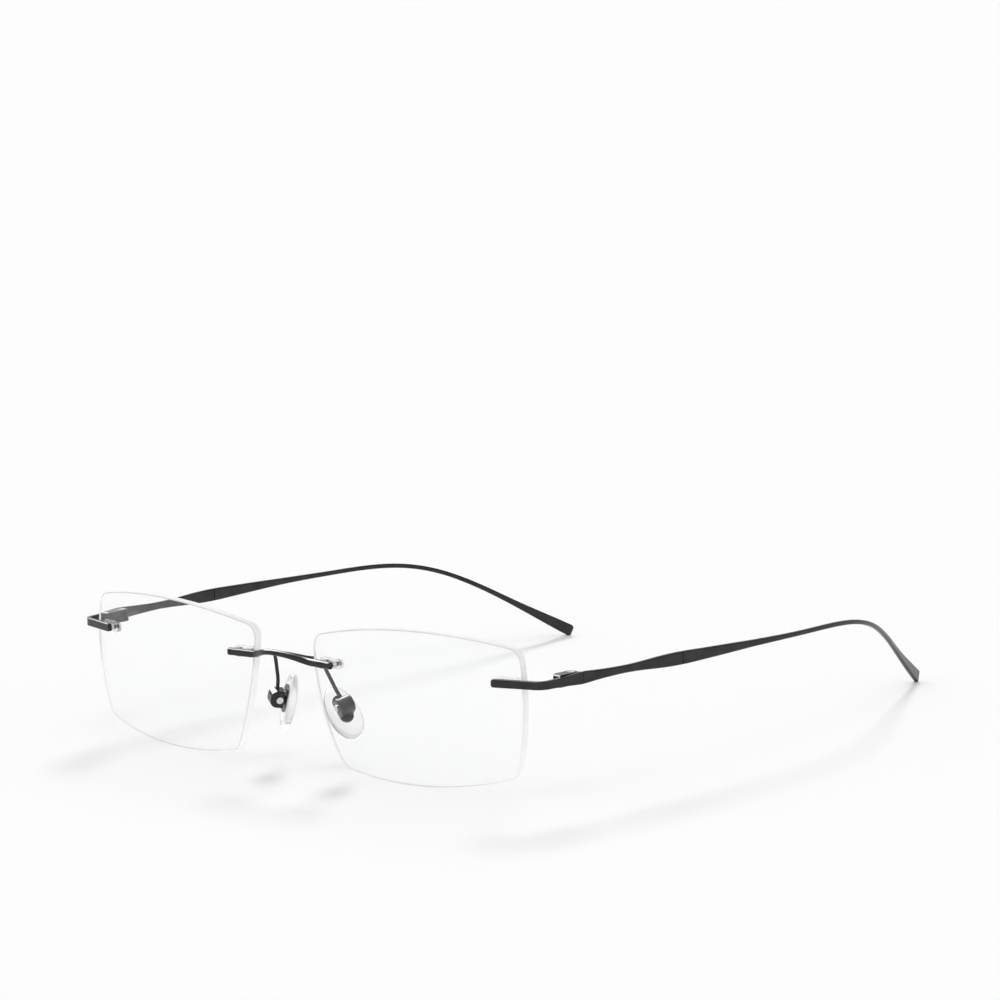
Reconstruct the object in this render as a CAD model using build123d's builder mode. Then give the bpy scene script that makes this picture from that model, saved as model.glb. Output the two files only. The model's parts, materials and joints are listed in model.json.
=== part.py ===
from build123d import *
import os
from math import cos, radians, sin, sqrt

# Rimless eyeglasses standing open on the lower lens edges and the temple tips.
# Millimetres. +X is the wearer's left, -Y is the front, +Z is up.
# The origin is on the floor, at the centre of the bounding box.

# ---------------------------------------------------------------- driving dimensions
front_y = -77.32           # the lens vertices' distance from the origin
lens_height = 16.582       # lens centre above the floor
lens_x = 35.7              # lens centre from the middle of the nose
lean = radians(3.23)       # the lens tops lean forward
wrap = radians(5.87)       # each lens turns back towards its temple

lens_radius = 117.6        # of the front surface
lens_thickness = 1.94
lens_bevel = 0.2           # the ground edge's safety bevel, front and back
lens_corners = ((26.1, 14.0), (24.35, -13.1), (-19.9, -14.9), (-27.1, 12.9))
lens_bulges = (1.7, 2.6, 1.75, 3.2)      # of the edge that starts at each corner
lens_corner_radii = (3.3, 2.7, 3.7, 3.1)

post_radius = 0.5
post_spacing = 3.2
sleeve_radius = 0.75
fit_gap = 0.01             # radial gap of pieces pressed or brazed together
plate_thickness = 0.9
plate_height = 2.1
plate_gap = 0.07           # lets a flat plate sit on the curved lens

bar_height = 1.75          # endpiece front bar
arm_thickness = 1.0        # endpiece and temple blade
edge_round = 0.15
seam_height = 2.65         # where the endpiece meets the temple
temple_height = 24.1       # hinge height above the floor
seam_x = 67.35
seam_y = front_y + 18.5
seam_gap = 0.1

hinge_height = 2.6
tongue_thickness = 1.0
washer_thickness = 0.18
running_gap = 0.03
screw_radius = 0.5
knuckle_radius = 1.2

arm_wire_radius = 0.4
pad_screw_radius = 0.4

os.makedirs("parts", exist_ok=True)


def save(solid, name):
    """Labels a finished piece and writes it to its own file."""
    solid.label = name
    export_step(solid, f"parts/{name}.step")


def mirrored(solid):
    """The same piece for the other side of the nose."""
    with BuildPart() as twin:
        mirror(solid, about=Plane.YZ)
    return twin.part


def save_pair(solid, name):
    """The wearer's left piece as modelled, and its mirror image on the right."""
    save(solid, name + "_left")
    save(mirrored(solid), name + "_right")


# ---------------------------------------------------------------- lens geometry
lens_up = Vector(0, -sin(lean), cos(lean))
lens_back = Vector(0, cos(lean), sin(lean))
lens_out = Vector(1, 0, 0) * cos(wrap) + lens_back * sin(wrap)
lens_forward = Vector(1, 0, 0) * sin(wrap) - lens_back * cos(wrap)
lens_plane = Plane(origin=(lens_x, front_y, lens_height), x_dir=lens_out, z_dir=lens_forward)
sphere_centre = lens_plane.origin - lens_forward * lens_radius


def lens_front(across, up):
    """The point of the lens's front surface over a point of its plane."""
    depth = lens_radius - sqrt(lens_radius**2 - across**2 - up**2)
    return lens_plane.from_local_coords((across, up, -depth))


def mount_plane(across, up):
    """A plane that touches the front of the lens: x away from the nose, y up, z forward."""
    point = lens_front(across, up)
    outward = point - sphere_centre
    normal = Vector(outward.X, outward.Y, 0).normalized()
    return Plane(origin=point, x_dir=Vector(0, 0, 1).cross(normal), z_dir=normal)


nasal_mount = mount_plane(-23.0, 7.3)
temporal_mount = mount_plane(23.2, 7.15)
post_places = ((-post_spacing / 2, 0), (post_spacing / 2, 0))


def edge_middle(start, end, bulge):
    """The middle of a lens edge that bulges outwards, for corners taken clockwise."""
    along = Vector(*end) - Vector(*start)
    outward = Vector(-along.Y, along.X).normalized()
    return (Vector(*start) + Vector(*end)) / 2 + outward * bulge


with BuildPart() as lens:
    with BuildSketch(lens_plane):
        with BuildLine():
            for i, bulge in enumerate(lens_bulges):
                start, end = lens_corners[i], lens_corners[(i + 1) % 4]
                ThreePointArc(start, edge_middle(start, end, bulge), end)
        make_face()
        for corner, radius in zip(lens_corners, lens_corner_radii):
            fillet(vertices().sort_by_distance(corner)[0], radius)
    extrude(amount=12, both=True)
    ball = Plane(origin=sphere_centre, x_dir=-lens_forward, z_dir=lens_up)
    with Locations(ball):
        Sphere(lens_radius, mode=Mode.INTERSECT)
        Sphere(lens_radius - lens_thickness, mode=Mode.SUBTRACT)
    chamfer([face.edges() for face in lens.faces().filter_by(GeomType.SPHERE)], lens_bevel)
    for mount in (nasal_mount, temporal_mount):
        with BuildSketch(mount):
            with Locations(*post_places):
                Circle(sleeve_radius + fit_gap)
        extrude(amount=8, both=True, mode=Mode.SUBTRACT)
save_pair(lens.part, "lens")


# ---------------------------------------------------------------- lens mounts
def cast_pins(mount, radius, front, back):
    """Two pins through the lens of a mount, from a front to a back level."""
    with BuildPart() as pins:
        with BuildSketch(mount.offset(back)):
            with Locations(*post_places):
                Circle(radius)
        extrude(amount=front - back)
    return pins.part


def sleeve(mount, inner_end, outer_end):
    """A clear double plug: a plate behind the lens with a tube in each of its holes."""
    level = -lens_thickness - plate_gap
    with BuildPart() as plug:
        with BuildSketch(mount.offset(level - plate_thickness)):
            with Locations(((inner_end + outer_end) / 2, 0)):
                SlotOverall(outer_end - inner_end, plate_height)
        extrude(amount=plate_thickness)
        with BuildSketch(mount.offset(level)):
            with Locations(*post_places):
                Circle(sleeve_radius)
        extrude(amount=lens_thickness + plate_gap)
        with BuildSketch(mount):
            with Locations(*post_places):
                Circle(post_radius + fit_gap)
        extrude(amount=8, both=True, mode=Mode.SUBTRACT)
    return plug.part


post_back = -lens_thickness - plate_gap - plate_thickness - 0.3
for name, mount, inner, outer in (
    ("bridge", nasal_mount, -3.2, 3.3),
    ("endpiece", temporal_mount, -3.85, 3.4),
):
    save_pair(cast_pins(mount, post_radius, 0.5, post_back), name + "_posts")
    save_pair(sleeve(mount, inner, outer), name + "_sleeve")


# ---------------------------------------------------------------- bridge
bar_rounding = 0.42        # of a bar section's smaller side
flat_depth = 1.35
# half of the bar, from its tip to the top of the arch: x, height, depth, share of the arch
bridge_stations = (
    (15.05, 1.15, 0.9, 0.0),
    (14.75, 1.6, 1.3, 0.0),
    (14.4, 1.65, flat_depth, 0.0),
    (12.8, 1.65, flat_depth, 0.0),
    (10.8, 1.65, flat_depth, 0.0),
    (9.4, 1.65, flat_depth, 0.0),
    (8.4, 1.62, 1.33, 0.01),
    (6.8, 1.5, 1.25, 0.18),
    (4.5, 1.3, 1.15, 0.60),
    (2.2, 1.25, 1.15, 0.90),
    (0.0, 1.25, 1.15, 1.0),
)
arch_rise = 1.55
arch_reach = 2.5           # how far the arch stands forward of the flats
lens_gap = 0.09            # between the bar and the lens
flat_slope = nasal_mount.x_dir.Y / nasal_mount.x_dir.X
flat_y = nasal_mount.origin.Y - flat_depth / 2 - lens_gap
flat_z = nasal_mount.origin.Z
bend_start = 7.0           # nearer the nose than this the bar no longer follows the lens


def bridge_point(x, share):
    """A point on the bar's centre line, raised and brought forward by its share."""
    run = max(abs(x), bend_start) - nasal_mount.origin.X
    return Vector(x, flat_y + run * flat_slope - share * arch_reach, flat_z + share * arch_rise)


def direction(points, i):
    """The way a row of points runs at one of them."""
    return (points[min(i + 1, len(points) - 1)] - points[max(i - 1, 0)]).normalized()


def square_to(point, along):
    """A plane across a run: its y axis stands up, its x axis is level."""
    return Plane(origin=point, x_dir=along.cross(Vector(0, 0, 1)), z_dir=along)


right_half = [(bridge_point(-x, share), height, depth) for x, height, depth, share in bridge_stations]
left_half = [(Vector(-p.X, p.Y, p.Z), height, depth) for p, height, depth in right_half[-2::-1]]
bridge_run = right_half + left_half
bridge_points = [point for point, _, _ in bridge_run]
with BuildPart() as bridge_bar:
    for i, (point, height, depth) in enumerate(bridge_run):
        with BuildSketch(square_to(point, direction(bridge_points, i))):
            RectangleRounded(depth, height, depth * bar_rounding)
    loft()
save(bridge_bar.part, "bridge_bar")


# ---------------------------------------------------------------- endpieces
bar_level = arm_thickness / 2 + 0.02
bar_start = temporal_mount.from_local_coords((-2.95, 0, bar_level))
bar_ahead = temporal_mount.from_local_coords((4.0, 0, bar_level))
temple_slope = 0.053
side_direction = Vector(temple_slope, 1, 0).normalized()
seam = Vector(seam_x, seam_y, temple_height)
bar_slope = (bar_ahead.Y - bar_start.Y) / (bar_ahead.X - bar_start.X)
corner_x = (seam_x - (seam_y - bar_start.Y + bar_slope * bar_start.X) * temple_slope) / (
    1 - bar_slope * temple_slope)
corner_y = bar_start.Y + (corner_x - bar_start.X) * bar_slope
bend_radius = 2.6
endpiece_end = seam - side_direction * seam_gap

with BuildPart() as endpiece:
    with BuildSketch(Plane.XY.offset(temple_height - 2)):
        with BuildLine() as bend:
            FilletPolyline(
                (bar_start.X, bar_start.Y),
                (corner_x, corner_y),
                (endpiece_end.X, endpiece_end.Y),
                radius=bend_radius,
            )
        trace(bend.line, arm_thickness)
    extrude(amount=4)
    with BuildSketch(Plane.YZ):
        with BuildLine():
            bottom = temple_height - bar_height / 2
            top = temple_height + bar_height / 2
            low = Spline((corner_y, bottom), (endpiece_end.Y - 6, bottom - 0.12),
                         (endpiece_end.Y, temple_height - seam_height / 2), tangents=((1, 0), (1, -0.06)))
            high = Spline((corner_y, top), (endpiece_end.Y - 6, top + 0.12),
                          (endpiece_end.Y, temple_height + seam_height / 2), tangents=((1, 0), (1, 0.06)))
            Polyline(low @ 0, (bar_start.Y - 3, bottom), (bar_start.Y - 3, top), high @ 0)
            Polyline(low @ 1, (endpiece_end.Y + 1, temple_height - seam_height / 2),
                     (endpiece_end.Y + 1, temple_height + seam_height / 2), high @ 1)
        make_face()
    extrude(amount=100, mode=Mode.INTERSECT)
    tip_edges = endpiece.edges().filter_by(lambda e: e.length < 1.2).sort_by(Axis.X)[:2]
    fillet(tip_edges, 0.6)
    fillet(endpiece.edges(), edge_round)
save_pair(endpiece.part, "endpiece")


# ---------------------------------------------------------------- hinges
# hinge plane: x outwards, y back along the temple, from the seam's centre
hinge_plane = Plane(origin=seam, x_dir=side_direction.cross(Vector(0, 0, 1)), z_dir=(0, 0, 1))
arm_inside = -arm_thickness / 2
pivot_x, pivot_y = -1.85, -1.5
pivot = (pivot_x, pivot_y)
block_depth = 1.4                        # from the pivot to the block's inner side
block_inside = pivot_x - block_depth
block_front = -6.3
block_bevel = 0.25
slot_height = tongue_thickness + 2 * (washer_thickness + running_gap + fit_gap)
slot_reach = 4.0
head_radius = 0.85
head_height = 0.3
driver_slot = 0.25                       # width of the slot in the screw's head
driver_depth = 0.14

with BuildPart() as hinge_block:
    with BuildSketch(hinge_plane.offset(-hinge_height / 2)):
        with BuildLine():
            Polyline(
                (arm_inside, -0.6),
                (arm_inside, block_front),
                (block_inside + 0.95, block_front),
                (block_inside, block_front + 1.1),
                (block_inside, pivot_y),
            )
            RadiusArc((block_inside, pivot_y), (pivot_x, pivot_y + block_depth), block_depth)
            Line((pivot_x, pivot_y + block_depth), (arm_inside, -0.6))
        make_face()
    extrude(amount=hinge_height)
    chamfer(hinge_block.faces().sort_by(Axis.Z)[-1].edges().sort_by(Axis.X)[:4], block_bevel)
    with BuildSketch(hinge_plane.offset(-slot_height / 2)):
        with Locations((arm_inside, pivot_y - knuckle_radius - 0.15)):
            Rectangle(slot_reach, slot_reach, align=(Align.MAX, Align.MIN))
    extrude(amount=slot_height, mode=Mode.SUBTRACT)
    with Locations(hinge_plane):
        with Locations((*pivot, hinge_height / 2)):
            CounterBoreHole(screw_radius + fit_gap, head_radius + 0.04, head_height, hinge_height)
save_pair(hinge_block.part, "hinge_block")

with BuildPart() as hinge_screw:
    with BuildSketch(hinge_plane.offset(-hinge_height / 2)):
        with Locations(pivot):
            Circle(screw_radius)
    extrude(amount=hinge_height)
    with BuildSketch(hinge_plane.offset(hinge_height / 2 - head_height + fit_gap)):
        with Locations(pivot):
            Circle(head_radius)
    extrude(amount=head_height)
    with BuildSketch(hinge_plane.offset(hinge_height / 2 - driver_depth)):
        with Locations(pivot):
            Rectangle(3 * head_radius, driver_slot)
    extrude(amount=head_height, mode=Mode.SUBTRACT)
save_pair(hinge_screw.part, "hinge_screw")

with BuildPart() as hinge_washers:
    for level in (-slot_height / 2 + fit_gap, slot_height / 2 - fit_gap - washer_thickness):
        with BuildSketch(hinge_plane.offset(level)):
            with Locations(pivot):
                Circle(knuckle_radius - 0.05)
                Circle(screw_radius + 0.05, mode=Mode.SUBTRACT)
        extrude(amount=washer_thickness)
save_pair(hinge_washers.part, "hinge_washers")

# the tongue stands on a foot that is brazed to the inside of the temple
foot_length, foot_depth, foot_height = 4.6, 0.9, 1.6
foot_bevel = 0.2
neck_end = (pivot_x + 0.75, 3.9)
with BuildPart() as hinge_tongue:
    with BuildSketch(hinge_plane.offset(-tongue_thickness / 2)):
        with Locations(pivot):
            Circle(knuckle_radius)
        with Locations(neck_end):
            Circle(foot_depth / 2)
        make_hull()
        with Locations((arm_inside, seam_gap)):
            Rectangle(foot_depth, foot_length, align=(Align.MAX, Align.MIN))
        with Locations(pivot):
            Circle(screw_radius + 0.06, mode=Mode.SUBTRACT)
    extrude(amount=tongue_thickness)
    with BuildSketch(hinge_plane.offset(-foot_height / 2)):
        with Locations((arm_inside, foot_length)):
            Rectangle(foot_depth, 3.0, align=(Align.MAX, Align.MAX))
    extrude(amount=foot_height)
    foot_faces = hinge_tongue.faces().filter_by(Axis.Z).sort_by(Axis.Z)
    inner_edges = [foot_faces[end].edges().sort_by(Axis.X)[0] for end in (0, -1)]
    chamfer(inner_edges, foot_bevel)
save_pair(hinge_tongue.part, "hinge_tongue")


# ---------------------------------------------------------------- temples
# the centre line: x, y behind the lens vertices, z
temple_route = [
    Vector(seam_x, seam_y, temple_height),
    Vector(68.4, front_y + 37.5, 23.95),
    Vector(69.3, front_y + 53.0, 23.75),
    Vector(69.95, front_y + 72.0, 23.55),
    Vector(69.7, front_y + 92.0, 23.2),
    Vector(67.9, front_y + 110.0, 22.4),
    Vector(65.9, front_y + 119.5, 20.6),
    Vector(63.4, front_y + 127.5, 17.7),
    Vector(60.6, front_y + 135.1, 13.9),
    Vector(57.6, front_y + 142.8, 9.45),
    Vector(52.4, front_y + 157.7, 0.954),
]
with BuildLine() as temple_line:
    Spline(*temple_route, tangents=((temple_slope, 1, -0.005), (-0.33, 1, -0.56)))
temple_edge = temple_line.edges()[0]
temple_length = temple_edge.length
splice = 30.6              # along the temple, where the blade takes the rear wire
splice_gap = 0.1
wide = 2.8                 # the height at the splice and at the tip
slim = 1.03                # the height of the wire before the ear
tip_taper = 0.6            # the tip's last stretch narrows to a smaller end
# distance along the temple, height
blade_sizes = (
    (0.0, seam_height), (3.0, 2.3), (6.0, 1.98), (9.5, 1.74), (13.0, 1.65),
    (16.5, 1.78), (20.0, 2.13), (23.5, 2.52), (27.0, 2.77), (splice, wide),
)
rear_sizes = (
    (splice + splice_gap, wide), (35.0, 2.65), (40.0, 2.35), (46.5, 1.97),
    (53.0, 1.55), (60.0, 1.28), (67.0, 1.1), (74.0, slim), (84.0, slim),
    (95.0, slim), (104.0, slim), (113.0, 1.07), (121.0, 1.17), (127.0, 1.35),
    (132.0, 1.68), (137.0, 2.13), (142.0, 2.56), (temple_length - tip_taper, wide),
)
edge_radius = 0.3
end_bevel = 0.1
tang_length, tang_height, tang_thickness = 5.0, 1.6, 0.4
tang_gap = 0.01


def temple_plane(distance):
    """A plane across the temple at a distance along it."""
    share = distance / temple_length
    return square_to(temple_edge @ share, temple_edge % share)


with BuildPart() as temple_blade:
    for distance, height in blade_sizes:
        with BuildSketch(temple_plane(distance)):
            RectangleRounded(arm_thickness, height, edge_radius)
    loft()
    for end in (0, -1):
        chamfer(temple_blade.faces().sort_by(Axis.Y)[end].edges(), end_bevel)
    with BuildSketch(temple_plane(splice)):
        Rectangle(tang_thickness + 2 * tang_gap, tang_height + 2 * tang_gap)
    extrude(amount=-tang_length - splice_gap, mode=Mode.SUBTRACT)
save_pair(temple_blade.part, "temple_blade")

with BuildPart() as temple_rear:
    for distance, height in rear_sizes:
        with BuildSketch(temple_plane(distance)):
            RectangleRounded(arm_thickness, height, edge_radius)
    loft()
    with BuildSketch(temple_plane(temple_length - tip_taper)):
        RectangleRounded(arm_thickness, wide, edge_radius)
    with BuildSketch(temple_plane(temple_length)):
        RectangleRounded(0.6 * arm_thickness, 0.75 * wide, 0.2)
    loft()
    with BuildSketch(temple_plane(splice + splice_gap)):
        Rectangle(tang_thickness, tang_height)
    extrude(amount=-tang_length - splice_gap)
save_pair(temple_rear.part, "temple_rear")


# ---------------------------------------------------------------- nose pads
# measured from the pad screw, which is the pad's swivel axis
box_width, box_length, box_depth = 3.4, 3.8, 3.0
box_face = 1.1             # to the side that faces the pad
box_back_round = 1.5
box_side_round = 0.35
slot_floor = 1.05          # how deep the box is slotted behind the screw
slot_length = 2.9
wire_inset = (0.3, 0.5)    # where the arm ends: below the box's top, behind the screw
eye_radius = 0.9           # the core's eye on the screw
eye_width = 1.3
core_face = 1.55           # to the pad's back
core_thickness = 0.5
core_length, core_width = 6.4, 3.0
pad_length, pad_width, pad_thickness = 12.6, 7.6, 2.3
pad_drop = -0.6            # the pad's centre below its screw
pad_round = 1.0
pocket_gap = 0.02
pad_head_radius, pad_head_height = 0.75, 0.3


def nose_unit(side, pivot, up, normal, head_side, route):
    """One pad arm with its box, screw, metal core and soft pad."""
    up, normal = Vector(*up).normalized(), Vector(*normal).normalized()
    pad_plane = Plane(origin=pivot, x_dir=up.cross(normal), z_dir=normal)
    profile_plane = Plane(origin=pivot, x_dir=normal, z_dir=pad_plane.x_dir)
    arm_end = pad_plane.from_local_coords((0, box_length / 2 - wire_inset[0], -wire_inset[1]))

    with BuildPart() as arm:
        with BuildLine() as run:
            Spline(*route, arm_end)
        with BuildSketch(Plane(origin=run.line @ 0, z_dir=run.line % 0)):
            Circle(arm_wire_radius)
        sweep()
    save(arm.part, "pad_arm_" + side)

    # this profile's x runs towards the pad and its y runs down the pad
    with BuildPart() as box:
        with BuildSketch(profile_plane.offset(-box_width / 2)):
            with Locations((box_face - box_depth / 2, 0)):
                Rectangle(box_depth, box_length)
            fillet(vertices().sort_by(lambda v: profile_plane.to_local_coords(v).X)[:2], box_back_round)
        extrude(amount=box_width)
        sides = box.faces().sort_by(lambda face: abs(pad_plane.to_local_coords(face.center()).X))[-2:]
        fillet(sides.edges(), box_side_round)
        with BuildSketch(pad_plane.offset(-slot_floor)):
            Rectangle(eye_width + 0.2, slot_length)
        extrude(amount=box_depth, mode=Mode.SUBTRACT)
        with BuildSketch(profile_plane):
            Circle(pad_screw_radius + fit_gap)
        extrude(amount=box_width, both=True, mode=Mode.SUBTRACT)
    save(box.part, "pad_box_" + side)

    with BuildPart() as screw:
        with BuildSketch(profile_plane):
            Circle(pad_screw_radius)
        extrude(amount=box_width / 2 + fit_gap, both=True)
        with BuildSketch(profile_plane.offset(head_side * (box_width / 2 + fit_gap))):
            Circle(pad_head_radius)
        extrude(amount=head_side * pad_head_height)
    save(screw.part, "pad_screw_" + side)

    with BuildPart() as core:
        with BuildSketch(profile_plane.offset(-eye_width / 2)):
            Circle(eye_radius)
            with Locations((core_face / 2, 0)):
                Rectangle(core_face, 1.8 * eye_radius)
            Circle(pad_screw_radius + 0.06, mode=Mode.SUBTRACT)
        extrude(amount=eye_width)
        with BuildSketch(pad_plane.offset(core_face)):
            SlotOverall(core_length, core_width, rotation=90)
        extrude(amount=core_thickness)
    save(core.part, "pad_core_" + side)

    with BuildPart() as pad:
        with BuildSketch(pad_plane.offset(core_face)):
            with Locations((0, pad_drop)):
                Ellipse(pad_width / 2, pad_length / 2)
        extrude(amount=pad_thickness)
        fillet(pad.edges(), pad_round)
        with BuildSketch(pad_plane.offset(core_face - core_thickness)):
            SlotOverall(core_length + 2 * pocket_gap, core_width + 2 * pocket_gap, rotation=90)
        extrude(amount=2 * core_thickness + pocket_gap, mode=Mode.SUBTRACT)
    save(pad.part, "nose_pad_" + side)


# the arms are bent by hand to fit a nose, so the two sides differ
nose_unit(
    "left",
    pivot=(12.9, front_y + 5.8, 14.2), up=(-0.61, 0.02, 0.79), normal=(-0.70, 0.46, -0.55), head_side=1,
    route=[
        (2.4, front_y - 2.2, 25.4), (4.2, front_y - 0.9, 25.0), (5.9, front_y + 1.0, 24.4),
        (7.5, front_y + 2.7, 23.9), (8.7, front_y + 3.9, 22.8), (9.4, front_y + 4.5, 21.2),
        (10.5, front_y + 4.9, 18.9), (11.5, front_y + 5.3, 16.9),
    ],
)
nose_unit(
    "right",
    pivot=(-8.5, front_y + 6.8, 13.2), up=(0.25, 0.03, 0.967), normal=(0.50, 0.85, -0.16), head_side=-1,
    route=[
        (-2.4, front_y - 2.2, 25.4), (-4.0, front_y - 0.6, 24.9), (-5.6, front_y + 1.6, 24.4),
        (-6.7, front_y + 3.5, 23.9), (-7.3, front_y + 4.9, 22.9), (-7.7, front_y + 5.7, 21.4),
        (-8.1, front_y + 6.4, 19.2), (-8.5, front_y + 7.0, 16.8),
    ],
)
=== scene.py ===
import json
from math import cos, pi, radians, sin

import bmesh
import bpy
from mathutils import Matrix, Vector


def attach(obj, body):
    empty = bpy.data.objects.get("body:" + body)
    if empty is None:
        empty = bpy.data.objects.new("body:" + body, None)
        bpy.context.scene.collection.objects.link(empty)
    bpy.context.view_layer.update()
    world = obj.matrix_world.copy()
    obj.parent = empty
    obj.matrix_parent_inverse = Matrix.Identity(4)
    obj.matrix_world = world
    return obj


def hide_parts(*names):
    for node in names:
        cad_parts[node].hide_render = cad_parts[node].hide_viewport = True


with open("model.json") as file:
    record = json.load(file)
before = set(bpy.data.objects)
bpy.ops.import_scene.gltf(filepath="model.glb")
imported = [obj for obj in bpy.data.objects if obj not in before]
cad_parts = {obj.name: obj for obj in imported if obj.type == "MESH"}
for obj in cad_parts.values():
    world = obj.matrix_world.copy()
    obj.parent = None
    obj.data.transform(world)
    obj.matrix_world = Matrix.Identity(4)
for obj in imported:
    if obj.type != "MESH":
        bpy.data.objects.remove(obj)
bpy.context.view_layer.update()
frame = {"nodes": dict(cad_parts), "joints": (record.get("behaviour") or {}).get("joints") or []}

# ---------------------------------------------------------------- camera
aim = Vector((-0.00603, 0.00084, 0.04754))   # a point on the camera's axis
azimuth = radians(40.963)                    # 0 looks along +Y
elevation = radians(8.456)
roll = radians(-1.041)
distance = 1.00437
sensor = 36.0
focal_length = 160.0


def add_camera():
    """A long lens, low and to the wearer's left of the open glasses."""
    back = Vector((sin(azimuth) * cos(elevation), -cos(azimuth) * cos(elevation), sin(elevation)))
    data = bpy.data.cameras.new("camera")
    data.sensor_width = sensor
    data.lens = focal_length
    data.clip_start = 0.01
    data.clip_end = 30
    camera = bpy.data.objects.new("camera", data)
    turn = (-back).to_track_quat("-Z", "Y").to_matrix() @ Matrix.Rotation(roll, 3, "Z")
    camera.matrix_world = Matrix.LocRotScale(aim + back * distance, turn, None)
    bpy.context.scene.collection.objects.link(camera)
    bpy.context.scene.camera = camera


add_camera()
bpy.context.scene.view_settings.view_transform = "Standard"


# ---------------------------------------------------------------- materials
class Nodes:
    """Short calls for building one material's nodes."""

    def __init__(self, name):
        self.material = bpy.data.materials.new(name)
        self.material.use_nodes = True
        self.tree = self.material.node_tree
        self.tree.nodes.clear()

    def add(self, kind, inputs=None, **settings):
        """A node with its inputs set, each to a number, a colour or another node's output."""
        node = self.tree.nodes.new(kind)
        for name, value in settings.items():
            setattr(node, name, value)
        for name, value in (inputs or {}).items():
            if isinstance(value, bpy.types.NodeSocket):
                self.tree.links.new(value, node.inputs[name])
            else:
                node.inputs[name].default_value = value
        return node

    def noise(self, place, scale, detail=3.0, roughness=0.5):
        """Noise over a place, from 0 to 1."""
        return self.add("ShaderNodeTexNoise", {
            "Vector": place, "Scale": scale, "Detail": detail, "Roughness": roughness}).outputs["Fac"]

    def spread(self, value, low, high, start=0.0, end=1.0):
        """A value that runs from start to end, brought to run from low to high."""
        return self.add("ShaderNodeMapRange", {
            "Value": value, "From Min": start, "From Max": end,
            "To Min": low, "To Max": high}).outputs["Result"]

    def ramp(self, value, *stops):
        """Colours along a value, each stop a place and a grey or a colour."""
        node = self.add("ShaderNodeValToRGB", {"Fac": value})
        while len(node.color_ramp.elements) < len(stops):
            node.color_ramp.elements.new(0.5)
        for element, (place, colour) in zip(node.color_ramp.elements, stops):
            element.position = place
            element.color = (*colour, 1) if isinstance(colour, tuple) else (colour, colour, colour, 1)
        return node.outputs["Color"]

    def bump(self, height, strength, depth):
        """A normal from a height."""
        return self.add("ShaderNodeBump", {
            "Height": height, "Strength": strength, "Distance": depth}).outputs["Normal"]

    def finish(self, shader):
        output = self.add("ShaderNodeOutputMaterial")
        self.tree.links.new(shader, output.inputs["Surface"])
        return self.material


def object_place(nodes):
    """The place on a piece, in its own coordinates."""
    return nodes.add("ShaderNodeTexCoord").outputs["Object"]


def black_metal():
    """Black plated titanium: dark satin, with a fine grain and small clouds in its gloss."""
    nodes = Nodes("black_metal")
    clouds = nodes.noise(object_place(nodes), 260, 4)
    grain = nodes.noise(object_place(nodes), 2600, 2)
    colour = nodes.ramp(clouds, (0.3, (0.034, 0.034, 0.036)), (0.75, (0.052, 0.051, 0.05)))
    shader = nodes.add("ShaderNodeBsdfPrincipled", {
        "Base Color": colour, "Metallic": 1.0, "Roughness": nodes.spread(clouds, 0.16, 0.26, 0.3, 0.7),
        "Normal": nodes.bump(grain, 0.1, 0.00002)})
    return nodes.finish(shader.outputs["BSDF"])


def see_through(nodes, shader, tint):
    """Lets the light for matt surfaces pass the shader with a tint, for a pale, even shadow."""
    path = nodes.add("ShaderNodeLightPath").outputs
    passing = nodes.add("ShaderNodeBsdfTransparent", {"Color": (tint, tint, tint, 1)})
    for ray in ("Is Diffuse Ray", "Is Shadow Ray"):
        mixed = nodes.add("ShaderNodeMixShader", {0: path[ray], 1: shader, 2: passing.outputs[0]})
        shader = mixed.outputs[0]
    return shader


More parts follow.
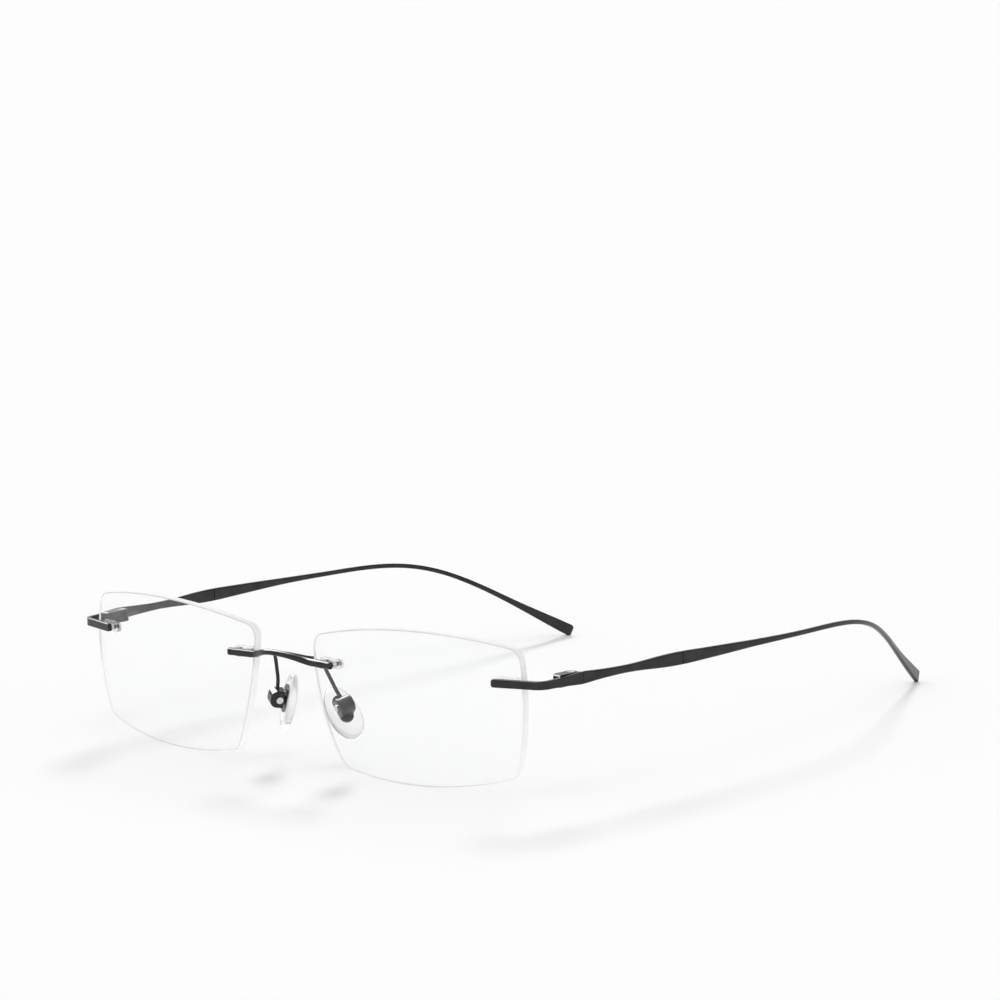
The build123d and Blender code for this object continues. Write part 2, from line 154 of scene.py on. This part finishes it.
def lens_glass():
    """Clear lens: polished, coated faces, a white ground edge and, beside it, bevels coloured a darker
    grey as painted shade.

    A face is told from the edge by how far its normal points forwards or back.
    """
    edge, bevel_shade = 1.0, 0.78            # the ground edge's white and the bevels' darker grey of painted shade
    edge_normal, bevel_normal = 0.45, 0.55
    bevel_end, face_start = 0.86, 0.92
    shine = 0.3                        # how much reflection the coating leaves
    nodes = Nodes("lens_clear")
    ripples = nodes.noise(object_place(nodes), 60, 2)
    smooth = nodes.bump(ripples, 0.02, 0.00002)
    coated = nodes.add("ShaderNodeBsdfRefraction", {
        "Color": (0.99, 0.993, 0.993, 1), "Roughness": 0.0, "IOR": 1.5, "Normal": smooth})
    glass = nodes.add("ShaderNodeBsdfPrincipled", {
        "Base Color": (0.985, 0.99, 0.99, 1), "Roughness": 0.0, "IOR": 1.5,
        "Transmission Weight": 1.0, "Normal": smooth})
    inside = nodes.add("ShaderNodeNewGeometry").outputs["Backfacing"]
    polished = nodes.add("ShaderNodeMixShader", {
        0: nodes.spread(inside, shine, 1.0), 1: coated.outputs[0], 2: glass.outputs[0]})
    facing = nodes.add("ShaderNodeSeparateXYZ", {
        "Vector": nodes.add("ShaderNodeTexCoord").outputs["Normal"]}).outputs["Y"]
    facing = nodes.add("ShaderNodeMath", {0: facing}, operation="ABSOLUTE").outputs["Value"]
    grit = nodes.noise(object_place(nodes), 3000, 2)
    # painted shade: faces turned partway forwards, the bevels, get a darker grey than the ground edge
    edge_white_and_bevel_shade = nodes.ramp(facing, (0.0, edge), (edge_normal, edge), (bevel_normal, bevel_shade), (0.85, bevel_shade))
    ground_grey_and_bevel_shade = nodes.add("ShaderNodeMix", {
        "Factor": nodes.spread(grit, 0.0, 0.06), 6: edge_white_and_bevel_shade, 7: (0.5, 0.5, 0.5, 1)},
        data_type="RGBA").outputs[2]
    diffuse = nodes.add("ShaderNodeBsdfDiffuse", {"Color": ground_grey_and_bevel_shade})
    through = nodes.add("ShaderNodeBsdfTranslucent", {"Color": ground_grey_and_bevel_shade})
    ground = nodes.add("ShaderNodeMixShader", {0: 0.5, 1: diffuse.outputs[0], 2: through.outputs[0]})
    share = nodes.spread(facing, 0.0, 1.0, bevel_end, face_start)
    surface = nodes.add("ShaderNodeMixShader", {0: share, 1: ground.outputs[0], 2: polished.outputs[0]})
    return nodes.finish(see_through(nodes, surface.outputs[0], 0.96))


def clear_plastic():
    """Moulded clear plugs."""
    nodes = Nodes("clear_plastic")
    clouds = nodes.noise(object_place(nodes), 700, 3)
    shader = nodes.add("ShaderNodeBsdfPrincipled", {
        "Base Color": (0.95, 0.955, 0.96, 1), "Roughness": nodes.spread(clouds, 0.04, 0.12),
        "IOR": 1.25, "Transmission Weight": 1.0})
    clear = nodes.add("ShaderNodeBsdfTransparent", {"Color": (0.97, 0.97, 0.97, 1)})
    faint = nodes.add("ShaderNodeMixShader", {0: 0.6, 1: shader.outputs[0], 2: clear.outputs[0]})
    return nodes.finish(see_through(nodes, faint.outputs[0], 0.93))


def silicone():
    """Soft clear silicone with a faint haze."""
    nodes = Nodes("clear_silicone")
    place = object_place(nodes)
    clouds = nodes.noise(place, 420, 4)
    shader = nodes.add("ShaderNodeBsdfPrincipled", {
        "Base Color": (0.96, 0.965, 0.97, 1), "Roughness": nodes.spread(clouds, 0.05, 0.16),
        "IOR": 1.41, "Transmission Weight": 1.0, "Normal": nodes.bump(clouds, 0.15, 0.00003)})
    clear = nodes.add("ShaderNodeBsdfTransparent", {"Color": (0.97, 0.97, 0.97, 1)})
    faint = nodes.add("ShaderNodeMixShader", {0: 0.35, 1: shader.outputs[0], 2: clear.outputs[0]})
    return nodes.finish(see_through(nodes, faint.outputs[0], 0.85))


def bright_steel():
    """Bare turned steel of the screws."""
    nodes = Nodes("bright_screw")
    clouds = nodes.noise(object_place(nodes), 1500, 3)
    shader = nodes.add("ShaderNodeBsdfPrincipled", {
        "Base Color": nodes.ramp(clouds, (0.2, 0.55), (0.8, 0.8)), "Metallic": 1.0,
        "Roughness": nodes.spread(clouds, 0.16, 0.34)})
    return nodes.finish(shader.outputs["BSDF"])


def nylon():
    """Dark nylon of the hinge washers."""
    nodes = Nodes("nylon")
    clouds = nodes.noise(object_place(nodes), 900, 3)
    shader = nodes.add("ShaderNodeBsdfPrincipled", {
        "Base Color": nodes.ramp(clouds, (0.2, 0.02), (0.8, 0.045)),
        "Roughness": nodes.spread(clouds, 0.4, 0.6), "IOR": 1.53})
    return nodes.finish(shader.outputs["BSDF"])


finishes = {
    "black_metal": black_metal(),
    "lens_clear": lens_glass(),
    "clear_plastic": clear_plastic(),
    "clear_silicone": silicone(),
    "bright_screw": bright_steel(),
    "nylon": nylon(),
}
slot_of = {
    "lens": "lens_clear", "bridge_sleeve": "clear_plastic", "endpiece_sleeve": "clear_plastic",
    "nose_pad": "clear_silicone", "hinge_screw": "bright_screw", "pad_screw": "bright_screw",
    "hinge_washers": "nylon",
}


def wear(piece, finish):
    """Gives a piece one finish."""
    piece.data.materials.clear()
    piece.data.materials.append(finishes[finish])


for name, node in frame["nodes"].items():
    wear(node, slot_of.get(name.rsplit("_", 1)[0], "black_metal"))


# ---------------------------------------------------------------- nose pads
pad_rings = 28
pad_spokes = 96
pad_fullness = 3.4         # 2 is an ellipsoid, more is fuller
pad_egg = 0.13             # how much narrower the top end is
pad_crown = 0.18           # how far the face falls back at its rim


def pad_axes(side):
    """A pad's middle and half sizes, along the axes across it, up it and out of its face."""
    joint = next(j for j in frame["joints"] if j["name"] == f"pad_{side}_swivel")
    points = [v.co.copy() for v in frame["nodes"][f"nose_pad_{side}"].data.vertices]
    across = Vector(joint["axis"]).normalized()

    def tilted(turn):
        """A direction square to the swivel's axis."""
        return Matrix.Rotation(turn, 3, across) @ across.orthogonal().normalized()

    def depth(turn):
        levels = [p.dot(tilted(turn)) for p in points[::2]]
        return max(levels) - min(levels)

    turn = 0.0
    for step in (radians(10), radians(1), radians(0.1)):
        # the pad is thinnest along its face's normal
        turn = min((turn + k * step for k in range(-10, 11)), key=depth)
    out = tilted(turn)
    if (points[0] - Vector(joint["pos_m"])).dot(out) < 0:
        out = -out
    up = out.cross(across)
    if up.z < 0:
        up = -up
    axes = (across, up, out)
    lows = [min(p.dot(axis) for p in points) for axis in axes]
    highs = [max(p.dot(axis) for p in points) for axis in axes]
    middle = sum((axis * (low + high) / 2 for axis, low, high in zip(axes, lows, highs)), Vector())
    return middle, [(high - low) / 2 for low, high in zip(lows, highs)], axes


def power(value, exponent):
    """A signed power."""
    return (1 if value >= 0 else -1) * abs(value) ** exponent


def soft_pad(side):
    """A crowned, egg-shaped pad that fills the CAD pad's box."""
    middle, half, axes = pad_axes(side)

    def place(reach, turn, level):
        narrow = 1 - pad_egg * (1 + sin(turn)) / 2
        local = (cos(turn) * reach * half[0] * narrow, sin(turn) * reach * half[1], level * half[2])
        return middle + sum((axis * part for axis, part in zip(axes, local)), Vector())

    build = bmesh.new()
    rings = []
    for ring in range(1, pad_rings):
        tilt = -pi / 2 + pi * ring / pad_rings
        reach = power(cos(tilt), 2 / pad_fullness)
        level = power(sin(tilt), 2 / pad_fullness)
        if level > 0:
            level -= pad_crown * reach**2 * level
        turns = (2 * pi * k / pad_spokes for k in range(pad_spokes))
        rings.append([build.verts.new(place(reach, turn, level)) for turn in turns])
    for low, high in zip(rings, rings[1:]):
        for k in range(pad_spokes):
            after = (k + 1) % pad_spokes
            build.faces.new((low[k], low[after], high[after], high[k]))
    for ring, level in ((rings[0], -1), (rings[-1], 1)):
        tip = build.verts.new(place(0, 0, level))
        for k in range(pad_spokes):
            build.faces.new((ring[k], tip, ring[(k + 1) % pad_spokes]))
    bmesh.ops.recalc_face_normals(build, faces=build.faces)
    mesh = bpy.data.meshes.new(f"soft_pad_{side}")
    build.to_mesh(mesh)
    build.free()
    mesh.shade_smooth()
    pad = bpy.data.objects.new(f"soft_pad_{side}", mesh)
    bpy.context.scene.collection.objects.link(pad)
    wear(pad, "clear_silicone")
    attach(pad, f"pad_{side}")
    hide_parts(f"nose_pad_{side}")


for side in ("left", "right"):
    soft_pad(side)


# ---------------------------------------------------------------- studio
def add_floor():
    """A wide white sheet."""
    nodes = Nodes("floor")
    clouds = nodes.noise(object_place(nodes), 6, 2)
    shader = nodes.add("ShaderNodeBsdfPrincipled", {
        "Base Color": nodes.ramp(clouds, (0.0, 0.945), (1.0, 0.955)), "Roughness": 0.7,
        "Specular IOR Level": 0.0})
    mesh = bpy.data.meshes.new("floor")
    reach = 30.0
    mesh.from_pydata([(-reach, -reach, 0), (reach, -reach, 0), (reach, reach, 0), (-reach, reach, 0)],
                     [], [(0, 1, 2, 3)])
    mesh.materials.append(nodes.finish(shader.outputs["BSDF"]))
    floor = bpy.data.objects.new("floor", mesh)
    bpy.context.scene.collection.objects.link(floor)


def add_softbox(name, compass, height, spread, strength, fills=True, shines=True):
    """A far softbox: its place on the compass, its height and its width, all in degrees.

    It fills matt surfaces, shines in glossy ones, or does both.
    """
    data = bpy.data.lights.new(name, "SUN")
    data.angle = radians(spread)
    data.energy = strength
    lamp = bpy.data.objects.new(name, data)
    compass, height = radians(compass), radians(height)
    towards = Vector((sin(compass) * cos(height), -cos(compass) * cos(height), sin(height)))
    lamp.rotation_mode = "QUATERNION"
    lamp.rotation_quaternion = (-towards).to_track_quat("-Z", "Y")
    lamp.visible_diffuse = fills
    lamp.visible_glossy = shines
    lamp.visible_transmission = False
    bpy.context.scene.collection.objects.link(lamp)


def add_world(strength):
    """Even white light from all round."""
    world = bpy.data.worlds.new("world")
    world.use_nodes = True
    background = world.node_tree.nodes["Background"]
    background.inputs["Color"].default_value = (1, 1, 1, 1)
    background.inputs["Strength"].default_value = strength
    bpy.context.scene.world = world


add_floor()
add_world(0.66)
add_softbox("back_softbox", 216, 30, 12, 1.7, shines=False)
add_softbox("top_softbox", 60, 78, 24, 0.33)
add_softbox("side_softbox", 269, 50, 60, 13, fills=False)
